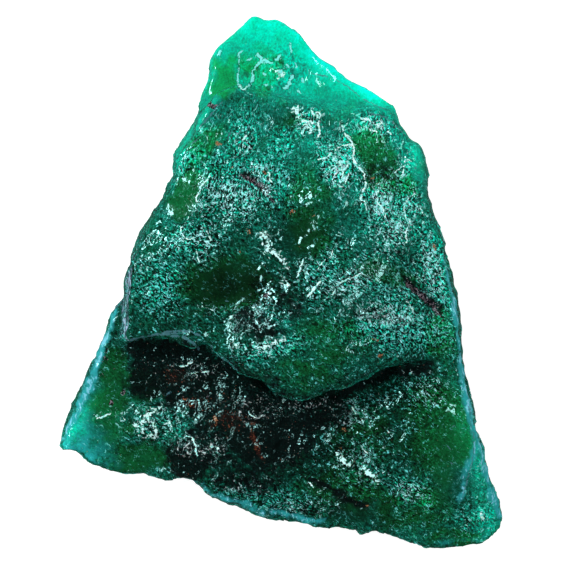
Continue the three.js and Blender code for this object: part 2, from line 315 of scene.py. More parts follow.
fine_strokes = [
    [(-4.4, 19.7), (-4.3, 21.1), (-4.2, 22.6)],
    [(-4.4, 22.6), (-3.9, 23.0)],
    [(-3.5, 22.2), (-3.0, 22.4)],
    [(0.9, 23.9), (1.0, 22.9), (0.7, 22.4)],
    [(-1.9, 20.9), (-1.6, 20.7)],
    [(0.4, 21.6), (0.7, 21.4)],
    [(1.3, 21.8), (1.4, 21.3)],
    [(-1.9, 19.7), (-1.5, 19.6)],
    [(-1.1, 19.7), (-0.9, 19.4)],
    [(2.0, 20.4), (2.1, 19.8)],
    [(1.5, 19.1), (1.8, 18.7)],
    [(2.4, 15.4), (3.0, 15.1), (2.8, 14.6)],
    [(5.0, 11.9), (5.4, 11.0), (5.1, 10.2)],
    [(5.6, 11.8), (6.0, 10.9), (5.9, 10.0)],
    [(6.4, 11.6), (6.6, 10.7), (6.3, 9.6)],
    [(5.3, 9.9), (5.6, 9.4), (6.1, 9.3)],
    [(9.2, 15.9), (9.9, 16.0), (10.0, 15.4), (9.4, 15.3)],
    [(8.7, 15.1), (9.5, 14.8)],
    [(8.9, 9.4), (9.4, 8.7), (9.8, 9.3)],
    [(9.4, 8.7), (9.4, 7.9), (10.0, 7.3), (10.2, 6.3), (9.7, 5.7)],
    [(7.7, 8.1), (8.2, 7.6), (8.3, 6.9)],
    [(7.0, 13.5), (6.4, 13.5), (5.9, 13.4)],
    [(4.7, 12.4), (4.1, 12.1), (3.6, 12.1)],
    [(2.2, 15.3), (2.6, 15.6)],
    [(13.2, 8.6), (12.7, 8.4), (12.3, 7.8), (12.1, 7.0), (12.3, 6.2), (12.5, 5.6),
     (12.2, 4.9), (12.3, 3.8)],
    [(13.6, 7.9), (14.0, 6.8)],
    [(12.7, 6.1), (12.8, 5.5)],
    [(11.1, 10.8), (12.0, 11.5)],
    [(12.3, 12.5), (12.0, 10.5)],
    [(12.5, 12.2), (13.0, 11.8)],
    [(5.1, 3.2), (4.8, 2.3), (4.2, 2.0), (3.5, 1.2)],
    [(8.0, 0.9), (5.7, -0.2), (5.1, -1.4)],
    [(12.4, -1.9), (13.0, -3.2)],
    [(-7.0, 10.3), (-7.9, 9.4), (-8.1, 8.8), (-8.4, 8.2), (-8.1, 7.8)],
    [(-9.1, 6.4), (-9.7, 5.5), (-9.9, 4.9), (-9.2, 4.1), (-8.6, 4.3)],
    [(-7.6, 5.4), (-7.2, 4.7), (-6.9, 4.0)],
    [(-8.3, 3.0), (-8.0, 1.9)],
    [(-2.7, 8.7), (-2.6, 7.8)],
    [(-1.3, 10.8), (-0.9, 9.6)],
    [(-1.8, 9.0), (-1.2, 8.8)],
    [(-2.9, -2.5), (-2.6, -2.6)],
    [(-9.1, -9.2), (-8.2, -9.1), (-7.3, -8.9)],
    [(-5.4, -9.2), (-5.4, -9.5)],
    [(-16.0, -13.4), (-15.7, -13.8), (-16.0, -14.0)],
    [(-5.4, -13.1), (-5.3, -13.3)],
    [(-3.4, -12.8), (-3.2, -13.3), (-2.6, -13.5)],
    [(-1.3, -7.3), (-0.9, -7.2)],
    [(10.4, -14.8), (10.7, -15.0)],
    [(10.1, -19.0), (10.4, -18.9)],
    [(2.8, -20.1), (3.3, -20.6)],
    [(5.2, -22.4), (6.0, -22.0)],
    [(12.6, -9.2), (12.9, -8.9)],
]
brink_highlight_lines = [
    [(-15.5, -6.0), (-13.5, -5.6), (-11.9, -5.3), (-10.0, -5.4), (-9.2, -5.8), (-8.5, -6.2), (-8.3, -6.8)],
    [(-7.0, -6.3), (-6.3, -7.2), (-5.2, -8.0), (-4.2, -8.8)],
    [(-11.6, -5.0), (-9.6, -4.9), (-8.0, -5.4)],
]
faint_strokes = [
    [(-5.9, 17.9), (-6.6, 17.3), (-7.2, 16.5), (-7.7, 15.8), (-8.2, 15.2)],
    [(-7.6, 14.8), (-8.4, 13.9), (-9.3, 13.0), (-9.8, 12.2)],
    [(-8.2, 12.1), (-7.8, 11.8)],
    [(-6.0, 13.8), (-6.2, 13.0)],
    [(-5.0, 14.9), (-5.4, 14.0)],
    [(18.7, -12.4), (19.0, -16.4), (18.7, -19.4), (17.7, -22.4)],
    [(13.4, 11.4), (13.5, 11.1)],
    [(13.6, 10.3), (13.8, 10.1)],
    [(17.3, -14.3), (17.1, -14.6)],
    [(16.4, -16.3), (16.8, -16.6)],
    [(16.8, -18.0), (17.2, -18.1)],
    [(-5.6, -1.7), (-5.2, -1.9)],
    [(8.6, 16.9), (10.2, 16.4), (11.6, 15.4), (12.6, 14.0)],
    [(2.8, 21.3), (2.6, 20.4)],
    [(2.8, 20.8), (5.0, 20.4), (7.8, 18.6), (10.4, 17.2)],
    [(-14.2, -12.6), (-12.6, -11.9), (-11.0, -11.0)],
]
# Open cracks, wide and thin, and pits, all black inside.
wide_cracks = [
    [(-7.35, 17.75), (-6.95, 17.5), (-6.65, 17.25)],
    [(-3.4, 10.2), (-2.6, 9.9), (-1.9, 9.4)],
    [(12.3, -0.2), (13.2, -0.8), (14.2, -1.6), (14.9, -2.3)],
    [(-15.9, -10.9), (-15.6, -11.1)],
    [(-17.3, -12.1), (-16.9, -12.2)],
    [(-1.4, -0.9), (-1.5, -1.6)],
]
thin_cracks = [
    [(-4.2, 10.6), (-3.4, 10.2)],
    [(-1.9, 9.4), (-1.5, 8.8), (-1.0, 8.1), (-0.7, 7.7)],
    [(14.9, -2.3), (15.7, -3.2), (16.2, -3.9)],
    [(-17.5, -6.8), (-17.3, -6.9)],
    [(-17.7, -7.5), (-17.4, -7.9)],
    [(-18.0, -7.9), (-17.9, -8.1)],
    [(-16.8, -8.6), (-16.7, -8.8)],
    [(-18.0, -9.3), (-17.9, -9.5)],
    [(-7.6, -11.4), (-7.3, -11.5)],
]
# Raised ridges under the broad strokes, which also carry painted glints.
bruises = strokes(broad_strokes, 0.8) * facing_up

# The thin lines, each kind after half its width in millimetres: the bright and faint ones are painted
# highlights, the cracks are black. Threads are wider on the lip.
bright_across, bright_width = hairlines([(0.075, middling_strokes), (0.05, fine_strokes)])
faint_across, faint_width = hairlines([(0.10, brink_highlight_lines), (0.05, faint_strokes)])
crack_across, crack_width = hairlines([(0.34, wide_cracks), (0.12, thin_cracks)])
bright_width = bright_width * (1 + 0.7 * lip)

# Thin edges that light shines through, and the wall on the left, drawn frosted with a painted reflection of
# the pale room on it.
rim_lines = [
    [(18.0, -7.0), (18.1, -9.4), (18.5, -11.9), (19.2, -14.9), (20.2, -18.0), (21.0, -21.0), (22.0, -23.5)],
    [(-15.8, -2.1), (-16.7, -3.2), (-17.3, -4.8), (-17.9, -6.7), (-19.3, -10.5), (-20.8, -13.2),
     (-22.0, -15.6)],
    [(5.0, 24.0), (8.0, 20.6), (11.5, 18.2), (12.8, 16.0)],
    [(16.4, 2.8), (17.2, -1.5), (17.7, -4.6), (18.0, -6.4)],
]
dull_rim_lines = [
    [(18.8, -14.8), (18.9, -17.4), (18.4, -19.8), (17.7, -21.9)],
    [(-9.0, -19.9), (-5.2, -21.9), (-2.6, -22.9), (0.2, -23.5), (4.4, -24.0)],
]
rims = strokes(rim_lines, 0.9, looseness=0.8)
rims = np.maximum(rims, 0.7 * strokes(dull_rim_lines, 0.8, looseness=0.8))
edge_wander = lumps(1.4, seed=14.0)
rims = rims * smoothstep(1.5, 0.6, above + 1.2 * edge_wander) * smoothstep(-0.1, 0.1, normals[:, 2])
frayed_y = y + 3 * lumps(1.5, seed=12.0)
frosted = smoothstep(-6.4, -4.6, frayed_y) * smoothstep(3.6, 1.0, frayed_y) * smoothstep(-13.7, -14.3, x)
frosted = frosted * smoothstep(0.7, 0.5, normals[:, 2]) * smoothstep(5.0, 10.5, z + 2 * edge_wander)

# Glassy bowls, where the crystal broke clean.
smooth_spots = [
    (1.0, -5.3, -0.3, 3.6, 2.2, 10), (0.8, 1.7, 4.1, 2.2, 2.0, 0), (1.0, -9.6, 8.2, 1.5, 2.8, -25),
    (0.8, 10.2, 0.7, 3.2, 1.0, -15), (0.8, 14.0, 11.5, 0.9, 2.8, 8), (0.7, 17.0, -18.0, 2.0, 5.0, 0),
    (0.7, -18.0, -13.0, 3.0, 5.5, -25), (0.8, -14.0, -17.8, 3.0, 1.6, 15), (0.7, 7.5, -23.0, 3.2, 1.2, 5),
    (0.7, 7.5, -2.3, 2.5, 1.2, 30), (0.6, 0.3, 16.2, 1.3, 1.0, 0), (0.5, 5.2, 14.0, 0.9, 2.0, 0),
]
smooth = np.maximum(patches(smooth_spots), 0.85 * lip)

# Sugary grain, which is strongest on the right and left of the broad face.
sugary_spots = [
    (0.7, 2.4, 16.0, 1.2, 1.2, 0), (0.9, 5.7, 12.2, 1.8, 2.6, 15), (1.0, 10.8, 7.2, 3.0, 3.2, 0),
    (0.8, 15.0, 1.0, 1.8, 5.5, 8), (0.8, 9.5, -0.5, 4.5, 3.0, 0), (0.9, 11.5, -4.6, 5.5, 2.2, -8),
    (0.6, 4.4, 0.8, 2.0, 3.2, -30), (0.8, -4.4, 9.2, 5.6, 3.2, 0), (0.7, -8.8, 4.6, 2.8, 2.6, 0),
    (0.8, -12.0, -0.4, 2.4, 2.6, 0), (0.6, -3.8, 13.8, 1.4, 3.0, -8), (0.5, -9.2, 11.5, 1.4, 3.0, -25),
    (0.5, 0.0, 13.6, 1.2, 2.2, 0), (0.6, 9.4, 15.4, 2.0, 1.2, -20), (0.4, -3.0, -3.0, 4.0, 1.3, -10),
    (0.7, -1.0, -6.6, 3.2, 1.1, 10), (0.5, 13.4, -10.6, 2.4, 1.8, 0), (0.4, -12.0, -14.6, 3.6, 2.0, -20),
    (0.7, -8.2, -16.4, 2.4, 1.4, 0), (0.4, 8.0, -18.4, 2.4, 2.2, -35), (0.7, 13.0, -20.8, 2.4, 1.4, -20),
    (0.6, 6.5, -12.8, 2.6, 1.5, 0), (0.6, -2.0, -12.2, 4.0, 1.6, -10), (0.5, -8.5, -8.2, 5.0, 1.1, 0),
    (0.6, -1.0, -21.6, 5.0, 1.3, -10), (0.3, 18.6, -23.4, 2.6, 1.6, 0), (0.4, -1.2, 21.3, 3.2, 2.0, 0),
]
sugary = patches(sugary_spots, softness=0.6)
sugary = np.maximum(sugary, flank * smoothstep(-0.1, 0.4, lumps(4.0, seed=9.0)) * smoothstep(9, 6, y))

# Black stain below the ledge, in hollows and along the cracks, with a painted shadow along the brink under
# the ledge's overhang.
stained_spots = [
    (1.0, -6.5, -11.0, 6.8, 3.6, -12), (1.0, -11.0, -7.6, 4.5, 1.8, 0), (0.95, -1.5, -15.0, 5.0, 4.5, -20),
    (0.95, -9.2, -17.8, 2.8, 2.4, 0), (0.8, 3.5, -13.2, 4.2, 2.0, 0), (0.7, -3.5, -19.0, 4.5, 2.4, -10),
    (0.45, 9.7, 11.0, 1.7, 1.3, -20), (0.9, -13.0, -9.5, 2.6, 2.6, 0),
    (0.8, -6.6, -15.4, 3.4, 1.8, 0),
    (0.7, -2.6, -4.2, 3.0, 1.6, -20), (0.6, 0.8, -2.2, 1.6, 1.8, 30), (0.45, 11.8, 2.4, 2.2, 0.9, -15),
    (0.45, 9.4, -3.4, 3.4, 0.9, -5), (0.4, 4.6, -1.4, 1.8, 0.8, 20),
]
ledge_shadow_lines = [
    [(-15.0, -6.7), (-11.5, -6.6), (-8.6, -7.6), (-6.4, -8.2), (-3.6, -10.3), (0.0, -12.2),
     (2.5, -12.4), (5.5, -11.4), (8.5, -9.9), (11.5, -8.8), (14.4, -8.5)],
]
crack_lines = [
    [(-3.8, 10.4), (-2.7, 10.0), (-1.9, 9.3), (-1.3, 8.5)],
    [(12.1, 0.0), (13.8, -1.2), (15.6, -3.0)],
    [(2.9, -19.8), (5.2, -21.0), (8.4, -22.6)],
]
stained = np.maximum(patches(stained_spots), strokes(ledge_shadow_lines, 1.4, looseness=0.7) * facing_up)
stained = np.maximum(stained, 0.9 * strokes(crack_lines, 0.9, looseness=0.8) * facing_up)

# Rust in the stain.
rust_spots = [
    (0.8, -2.8, -14.2, 0.6, 0.45, -20), (0.9, -2.4, -16.4, 0.4, 1.6, 28), (0.6, -9.0, -12.3, 0.9, 0.8, 0),
    (0.5, -6.9, -14.3, 0.6, 0.5, 0), (0.5, -11.0, -9.4, 1.6, 1.0, -20), (0.5, -5.0, -14.0, 1.6, 1.2, 0),
    (0.3, -7.0, -12.0, 4.5, 2.0, -15),
]
rust = patches(rust_spots, softness=0.6)

# Loose grains of rust.
grain_spots = [
    (1.0, -6.1, 13.5, 0.36, 0.24, -20), (0.7, 1.1, 7.2, 0.30, 0.20, 0), (0.7, -3.1, 5.1, 0.22, 0.40, 30),
    (0.9, -4.1, 2.8, 0.20, 0.26, 0), (0.6, 3.2, 6.3, 0.24, 0.18, 0), (0.6, -5.0, 11.5, 0.22, 0.18, 0),
    (0.7, -1.5, 10.8, 0.16, 0.20, 0), (0.7, 9.2, 10.3, 0.24, 0.16, 0), (0.6, 9.7, 9.7, 0.16, 0.16, 0),
    (0.7, 9.2, -5.8, 0.20, 0.20, 0), (0.7, 9.6, -7.0, 0.20, 0.20, 0), (0.7, 6.0, -14.7, 0.26, 0.20, 0),
    (0.6, 5.8, -16.6, 0.24, 0.20, 0), (0.6, 8.4, -22.4, 0.26, 0.20, 0), (0.8, -9.8, -11.7, 0.22, 0.20, 0),
    (0.8, -6.6, -14.0, 0.26, 0.20, 0), (0.7, -9.2, -12.6, 0.20, 0.20, 0), (0.8, 15.3, 3.6, 0.26, 0.50, 20),
]
grains = patches(grain_spots)

# Patches that are more yellow than the rest.
olive_spots = [
    (1.0, -5.7, 20.2, 1.2, 2.2, -12), (0.7, -2.0, 21.0, 2.4, 2.2, 0), (1.0, -9.4, 8.6, 1.4, 2.8, -25),
    (0.9, 9.4, 12.0, 1.8, 3.8, 25), (0.8, 12.0, 9.6, 1.6, 1.0, -20), (1.0, -16.8, -8.6, 1.3, 2.2, -15),
    (0.9, -14.2, -17.6, 3.2, 1.6, 10), (1.0, 15.6, -14.6, 3.4, 5.0, 0), (0.8, 17.4, -25.6, 3.0, 0.8, 0),
    (0.7, 1.0, 16.0, 1.4, 1.0, 0), (0.8, 10.2, 0.7, 3.2, 1.0, -15), (0.6, 2.5, -9.0, 3.0, 1.6, 10),
    (0.7, 15.8, -5.4, 1.6, 3.0, 10), (0.7, 13.0, -22.5, 4.0, 2.5, 0), (0.7, 2.8, 6.5, 2.2, 4.5, 0),
    (0.7, -7.6, 13.5, 1.2, 2.6, -30), (0.9, -5.6, -0.4, 4.4, 2.6, 0), (0.6, 5.0, -6.0, 3.5, 2.5, 0),
    (0.7, 6.0, -20.5, 4.0, 2.5, 0), (0.6, 8.0, -15.5, 3.0, 3.0, 0), (0.7, -14.5, -10.5, 2.5, 2.0, 0),
    (0.9, -17.2, -12.0, 1.8, 2.4, -30), (0.6, -16.4, -15.0, 2.0, 1.4, 0),
]
olive = patches(olive_spots)

# Where small bright breaks gather: painted glints and a finer bump in the shader, on the broad face and the
# flanks.
glint_spots = [
    (1.0, 5.7, 10.6, 1.3, 1.8, 0), (1.0, 9.8, 7.6, 1.4, 1.6, 0), (0.9, 10.8, 4.6, 2.2, 1.8, 0),
    (0.8, 13.1, 7.3, 0.8, 1.0, 0), (0.7, 14.8, 1.6, 1.5, 2.6, 10), (0.8, 6.6, -0.4, 3.0, 0.9, 35),
    (0.8, 9.6, -3.2, 3.6, 0.9, -5), (0.6, -7.4, 4.0, 1.6, 2.0, 0), (0.6, -5.6, 7.6, 3.2, 2.0, 0),
    (0.7, -2.0, -6.4, 2.6, 0.8, 15), (0.5, -4.0, -4.4, 1.8, 0.9, 0), (0.8, -3.6, 13.6, 1.0, 1.2, 0),
    (0.9, 2.9, 15.2, 1.1, 1.1, 0), (0.8, 12.3, 11.6, 1.1, 1.5, 0), (0.7, -13.5, -14.4, 1.2, 0.9, 20),
    (0.8, -6.7, -16.8, 1.6, 1.1, 0), (0.7, -4.6, -19.9, 3.0, 0.9, -8), (0.7, 2.0, -22.9, 3.4, 0.8, 5),
    (1.0, -9.7, -16.2, 1.3, 1.2, 0), (0.45, 7.4, -17.8, 2.4, 1.6, -35), (0.6, 12.9, -20.8, 1.6, 0.9, -20),
    (0.45, 14.6, -11.0, 2.0, 1.2, 0),
    (0.7, -3.2, -12.8, 2.4, 1.6, 0), (0.8, -8.4, -9.0, 2.8, 0.8, 5), (0.9, 3.4, -12.1, 3.4, 0.5, 8),
    (0.6, 7.4, -13.4, 1.5, 1.2, 0), (0.7, 9.2, 15.7, 1.4, 0.8, -15), (0.6, -0.4, 20.8, 3.0, 1.8, 0),
]
near_strokes = strokes(broad_strokes + middling_strokes + fine_strokes, 1.0) * facing_up * (1 - lip)
glints = np.maximum(patches(glint_spots, softness=0.6), 0.5 * near_strokes)
glints = np.maximum(glints, 0.5 * flank * smoothstep(0.1, 0.45, lumps(3.2, seed=7.0)))


# The fracture relief, in millimetres. Bowls with sharp crests are the glassy breaks, flat chips the hackly
# ones below the ledge and round the flanks, and leaning ripples run up the right side.
POLISHED = 0.86  # how glassy a point is, from 0 to 1, where the relief is smoothed away


def bowls(cell_x, cell_y, seed):
    """0 in the middle of each bowl, 1 on the crests between them."""
    def crest(place):
        near = Vector((place.x / cell_x, place.y / cell_y, place.z / cell_x + seed))
        near += 0.45 * noise.noise_vector(near * 0.7)
        first, second = noise.voronoi(near)[0][:2]
        return (2 * first / (first + second)) ** 2
    return at_each(crest)


def chips(cell, seed):
    """Flat breaks, each tilted its own way, from about -0.5 to 0.5."""
    def tilt(place):
        near = place / cell + Vector((0, 0, seed))
        near += 0.25 * noise.noise_vector(near * 1.3)
        middle = noise.voronoi(near)[1][0]
        lean = noise.cell_vector(middle * 37.0) - Vector((0.5, 0.5, 0.5))
        return (near - middle).dot(lean) + 0.35 * lean.x
    return at_each(tilt)


def ripples(spacing, lean, seed):
    """Sharp ridges that run up the stone and lean to the right."""
    def ridge(place):
        to_side = (place.x - lean * place.y) / spacing
        near = Vector((to_side, place.y / (4 * spacing), place.z / (3 * spacing) + seed))
        return 1 - abs(2 * noise.noise(near))
    return at_each(ridge)


def grooves(place):
    """Fine ridges that run along the flanks, as on a crystal's side."""
    near = Vector((place.y / 6, place.z / 0.8, place.x / 5 + 4))
    near += 0.3 * noise.noise_vector(place / 4)
    return 1 - abs(2 * noise.noise(near))


rippled = patches([
    (1.0, 9.5, 9.0, 5.0, 7.5, -8), (0.8, 4.5, 12.5, 2.5, 4.0, 0), (0.6, -4.0, 13.5, 4.0, 3.0, 0),
])
hackly = below_brink * (1 - smoothstep(11, 14, x)) * smoothstep(-17, -14, x) * (0.3 + 0.7 * facing_up)
hackly = np.maximum(hackly, 0.35 * flank)
rough_share = 1 - 0.9 * smooth
relief = (
    0.13 * lumps(2.6, seed=1.0) * (1 - 0.8 * smooth)
    + 0.07 * lumps(1.1, seed=5.0) * rough_share
    + 0.14 * (bowls(1.7, 2.2, seed=3.0) - 0.5) * rough_share * (1 - 0.6 * hackly)
    + 0.08 * (bowls(0.75, 0.9, seed=8.0) - 0.5) * rough_share
    + 0.16 * (ripples(0.9, lean=0.22, seed=2.0) - 0.6) * rippled
    + 0.45 * chips(1.5, seed=4.0) * hackly
    + 0.18 * chips(0.7, seed=6.0) * (0.25 + 0.75 * hackly) * rough_share
    + 0.10 * bruises
    + 0.06 * strokes(middling_strokes + fine_strokes, 0.45) * facing_up
    - 0.22 * strokes(crack_lines, 0.8) * facing_up
    + 0.20 * (at_each(grooves) - 0.6) * flank * smoothstep(0.3, 0.8, abs(normals[:, 0]))
    + 0.35 * chips(3.2, seed=2.0) * flank
)

# The break that the stone lies on stays flat, the whole stays in the CAD solid's box, and the glassy bowls
# are polished.
resting = smoothstep(0.3, 1.2, z)
moved = places + normals * (relief * resting)[:, None]
lowest = np.array(cad_box[0]) / MM
highest = np.array(cad_box[1]) / MM
moved = np.clip(moved, lowest, highest)
for vert, place in zip(form.verts, moved):
    vert.co = place * MM
relax(form, [vert for vert, calm in zip(form.verts, smooth) if calm > POLISHED], rounds=20)
form.to_mesh(emerald_mesh)
form.free()
emerald = bpy.data.objects.new("emerald", emerald_mesh)
bpy.context.scene.collection.objects.link(emerald)

for polygon in emerald_mesh.polygons:
    polygon.use_smooth = True


# How light the crystal is at each point, from 0, black green, through 1, the bright lip, to 1.2, its rim. It
# is given up the length of the stone and changed by swells, by the flanks, and by painted glow where light
# would shine through the lip, the thin edges and the shallow flanks.
LIGHTEST = 1.2


def swells(spots):
    """Soft rises and falls of tone, each given before the ellipse that it fills."""
    total = np.zeros(len(places))
    for rise, *ellipse in spots:
        total += rise * np.exp(-from_middle(ellipse, 0.6) ** 2)
    return total


tone_heights = [-27, -15, -8, 0, 8, 13, 16, 18, 20, 27]
tone_levels = [0.38, 0.34, 0.32, 0.38, 0.50, 0.57, 0.60, 0.64, 0.70, 0.78]
tone_spots = [
    (-0.30, -4.8, -0.3, 4.2, 1.9, 5), (-0.25, -1.6, -1.4, 1.4, 1.8, 0), (-0.16, 2.2, 4.6, 3.4, 2.2, 0),
    (-0.10, -10.5, -3.8, 4.5, 1.5, 0), (0.12, 6.0, 12.5, 4.5, 3.4, 0), (0.16, 13.6, 11.5, 1.5, 3.2, 0),
    (0.22, 16.6, 1.5, 1.6, 5.0, 12), (-0.22, 11.5, -11.0, 4.0, 1.8, 20), (-0.12, 6.5, -18.5, 5.0, 4.0, 0),
    (0.14, -18.5, -13.8, 2.8, 3.6, -25), (0.34, -20.8, -14.6, 1.1, 4.2, -28),
    (0.32, 21.2, -24.2, 2.2, 2.4, 0),
    (0.42, 19.4, -17.5, 1.3, 6.0, 14), (-0.26, 9.5, 10.8, 1.7, 1.4, -20), (-0.12, 9.0, 13.4, 1.6, 1.6, 0),
    (-0.12, 0.2, 15.8, 1.6, 1.0, 0), (-0.10, 5.3, 14.4, 0.8, 2.0, 0), (0.08, 2.0, -6.0, 4.0, 3.0, 0),
    (0.10, -8.0, 13.0, 2.2, 3.0, -30), (0.26, 5.0, 22.0, 4.6, 1.5, -40), (0.22, 9.0, 19.0, 3.0, 1.0, -32),
    (-0.12, -5.6, 20.0, 1.6, 2.6, -12), (-0.04, -0.5, 20.0, 3.4, 1.6, 0), (0.12, -1.5, 25.8, 3.5, 1.2, 0),
    (-0.10, 6.0, 18.0, 3.0, 1.2, -20), (0.02, -10.0, 4.0, 3.5, 3.5, 0), (-0.03, -4.0, 8.0, 4.5, 3.5, 0),
    (-0.12, 4.5, -23.0, 6.0, 1.6, 0), (0.06, 16.0, -16.0, 2.4, 5.0, 0), (-0.10, 10.3, 0.6, 3.0, 1.2, -15),
    (-0.06, 2.8, 6.5, 2.4, 4.5, 0), (-0.12, 12.0, -15.0, 2.4, 3.4, 0), (-0.10, 2.5, -1.0, 3.0, 3.0, 0),
    (-0.08, -1.0, -15.0, 7.0, 3.0, 0), (-0.06, 0.0, 24.0, 4.0, 3.0, 0), (-0.30, -8.2, 4.6, 0.6, 0.6, 0),
    (-0.14, -6.0, 8.0, 7.0, 7.0, 0), (-0.06, -10.0, -3.0, 6.0, 4.0, 0), (-0.06, 4.0, 10.0, 7.0, 7.0, 0),
    (-0.14, 3.5, -15.5, 5.0, 4.0, 0), (0.16, 13.4, 12.8, 1.4, 2.4, 0), (0.05, -2.0, 14.0, 5.0, 2.4, 0),
    (-0.05, -5.0, -21.0, 5.0, 2.0, -10), (0.06, -9.6, 14.0, 1.2, 3.0, -30), (0.08, -11.0, -2.6, 4.0, 2.4, 0),
    (0.08, -9.5, 8.5, 2.0, 4.0, -25), (0.04, -16.0, -9.0, 3.0, 3.0, 0),
    (0.04, -5.0, -0.3, 3.6, 1.6, 5), (0.05, 2.0, 4.4, 2.4, 2.0, 0), (0.12, 8.5, 15.6, 4.0, 1.5, -20),
    (-0.04, -4.0, -20.0, 4.0, 1.6, -10), (0.10, 17.0, -5.0, 1.5, 4.0, 5), (0.06, 4.5, 18.6, 4.0, 1.4, -20),
]

# The thin edges, apart from the brink, which is thin only for its undercut, and the steep walls.
thin = smoothstep(4.5, 1.0, thickness) * (strokes([brink], 4.0) == 0)
wall = 1 - smoothstep(0.15, 0.5, normals[:, 2])
wall = wall * (1 - smoothstep(6, 9, y) * smoothstep(-6, -8, x))

# Their tone: painted glow in the thin edges, the shallow flanks and the lip, a random tone on the flanks, a
# darker band just below the lip, and painted light on steep faces high on the stone.
tone = np.interp(y, tone_heights, tone_levels) * (1 - 0.25 * flank) + swells(tone_spots) * facing_up
tone = tone + 0.25 * thin * (1 - lip) + 0.25 * flank * smoothstep(5.5, 1.0, depth)
tone = tone + 0.10 * flank * lumps(5.0, seed=3.0)
tone = tone + 0.22 * lip - 0.06 * (1 - lip) * smoothstep(13, 18, y)
tone = tone + 0.15 * smoothstep(0.45, 0.1, normals[:, 2]) * smoothstep(3, 6, z)
tone = np.clip(tone / LIGHTEST, 0, 1)


def keep(name, values):
    """Stores a value at each point of the mesh, for the material to read."""
    layer = emerald_mesh.attributes.new(name, "FLOAT", "POINT")
    layer.data.foreach_set("value", values.astype(np.float32))


marks = {
    "tone": tone, "wall": wall, "olive": olive, "sugary": sugary, "stained": stained, "rust": rust,
    "grains": grains, "bruises": bruises, "bright_across": bright_across, "bright_width": bright_width,
    "faint_across": faint_across, "faint_width": faint_width,
    "crack_across": crack_across, "crack_width": crack_width, "glints": glints, "smooth": smooth,
    "thin": thin * (1 - lip), "lip": lip, "rims": rims, "frosted": frosted,
}
for name, values in marks.items():
    keep(name, values)


# The stone's material: glassy green crystal that light enters. Its colour is painted lighter where light
# would shine through thin stone and deepens where the stone is thick, breaks up into pale grains and painted
# glints where it is sugary, and is stained black and rusty below the ledge, with a painted shadow under its
# overhang.
def shade(red, green, blue):
    """A colour written as it looks, 0 to 255, as the light it sends back."""
    def light(level):
        level /= 255
        return level / 12.92 if level <= 0.04045 else ((level + 0.055) / 1.055) ** 2.4
    return (light(red), light(green), light(blue), 1)


class Signal:
    """One socket of a shader. Sums written with it become Math nodes."""

    def __init__(self, tree, socket):
        self.tree = tree
        self.socket = socket

    def made(self, kind, settings, sockets, output=0):
        """Any other node: its settings are set first, then its sockets are given values or links."""
        node = self.tree.nodes.new("ShaderNode" + kind)
        for name, setting in settings.items():
            if name == "stops":
                self.fill_ramp(node.color_ramp, setting)
            else:
                setattr(node, name, setting)
        for name, given in sockets.items():
            if isinstance(given, Signal):
                self.tree.links.new(given.socket, node.inputs[name])
            else:
                node.inputs[name].default_value = given
        return Signal(self.tree, node.outputs[output])

    @staticmethod
    def fill_ramp(ramp, stops):
        """Gives a ramp, which starts with two stops, all of its own."""
        for _ in stops[2:]:
            ramp.elements.new(0.5)
        for element, (position, colour) in zip(ramp.elements, stops):
            element.position = position
            element.color = colour

    def maths(self, operation, first, second):
        return self.made("Math", {"operation": operation}, {0: first, 1: second})

    def __add__(self, other):
        return self.maths("ADD", self, other)

    def __sub__(self, other):
        return self.maths("SUBTRACT", self, other)

    def __rsub__(self, other):
        return self.maths("SUBTRACT", other, self)

    def __mul__(self, other):
        return self.maths("MULTIPLY", self, other)

    def __abs__(self):
        return self.maths("ABSOLUTE", self, 0)

    __radd__ = __add__
    __rmul__ = __mul__

    def step(self, low, high):
        """0 below low, 1 above high, and a smooth rise between."""
        settings = {"interpolation_type": "SMOOTHSTEP"}
        return self.made("MapRange", settings, {"Value": self, "From Min": low, "From Max": high})

    def tinted(self, colour, share):
        """This colour with a share of another mixed in."""
        settings = {"data_type": "RGBA", "clamp_factor": True}
        return self.made("Mix", settings, {0: share, 6: self, 7: colour}, output=2)


glassy = bpy.data.materials.new("glassy_emerald")
glassy.use_nodes = True
tree = glassy.node_tree
surface = tree.nodes["Principled BSDF"]
in_metres = Signal(tree, None).made("TexCoord", {}, {}, output="Object")
place = in_metres.made("VectorMath", {"operation": "SCALE"}, {0: in_metres, "Scale": 1 / MM})


def mark(name):
    """One of the values kept at the mesh's points."""
    return place.made("Attribute", {"attribute_name": name}, {}, output="Fac")


def cloud(per_mm, detail=2.0, roughness=0.5, at=place):
    """Soft noise about 0.5, with so many lumps in a millimetre."""
    sockets = {"Vector": at, "Scale": per_mm, "Detail": detail, "Roughness": roughness}
    return place.made("TexNoise", {}, sockets, output="Fac")


wobble = place.made("TexNoise", {}, {"Vector": place, "Scale": 0.9, "Detail": 2.0}, output="Color")
pushed = place.made("VectorMath", {"operation": "MULTIPLY_ADD"}, {0: wobble, 1: (0.9, 0.9, 0.9), 2: place})

# The crystal's colour from its darkest to its lightest, where it is bluish and where it is more yellow.
TEAL_STOPS = [
    (0.00, shade(3, 16, 11)), (0.20, shade(7, 46, 34)), (0.40, shade(13, 86, 70)),
    (0.60, shade(18, 128, 110)), (0.72, shade(12, 165, 136)), (0.86, shade(0, 215, 178)),
    (1.00, shade(4, 240, 220)),
]
GREEN_STOPS = [
    (0.00, shade(4, 18, 7)), (0.20, shade(8, 48, 22)), (0.40, shade(12, 86, 44)),
    (0.60, shade(14, 124, 70)), (0.80, shade(10, 172, 98)), (1.00, shade(8, 205, 150)),
]


def drawn_out(turn, stretch):
    """The same places for a grain that is longer one way, turned from the stone's length."""
    sockets = {"Vector": pushed, "Rotation": (0, 0, math.radians(turn)), "Scale": (1, stretch, 1)}
    return place.made("Mapping", {"vector_type": "TEXTURE"}, sockets)


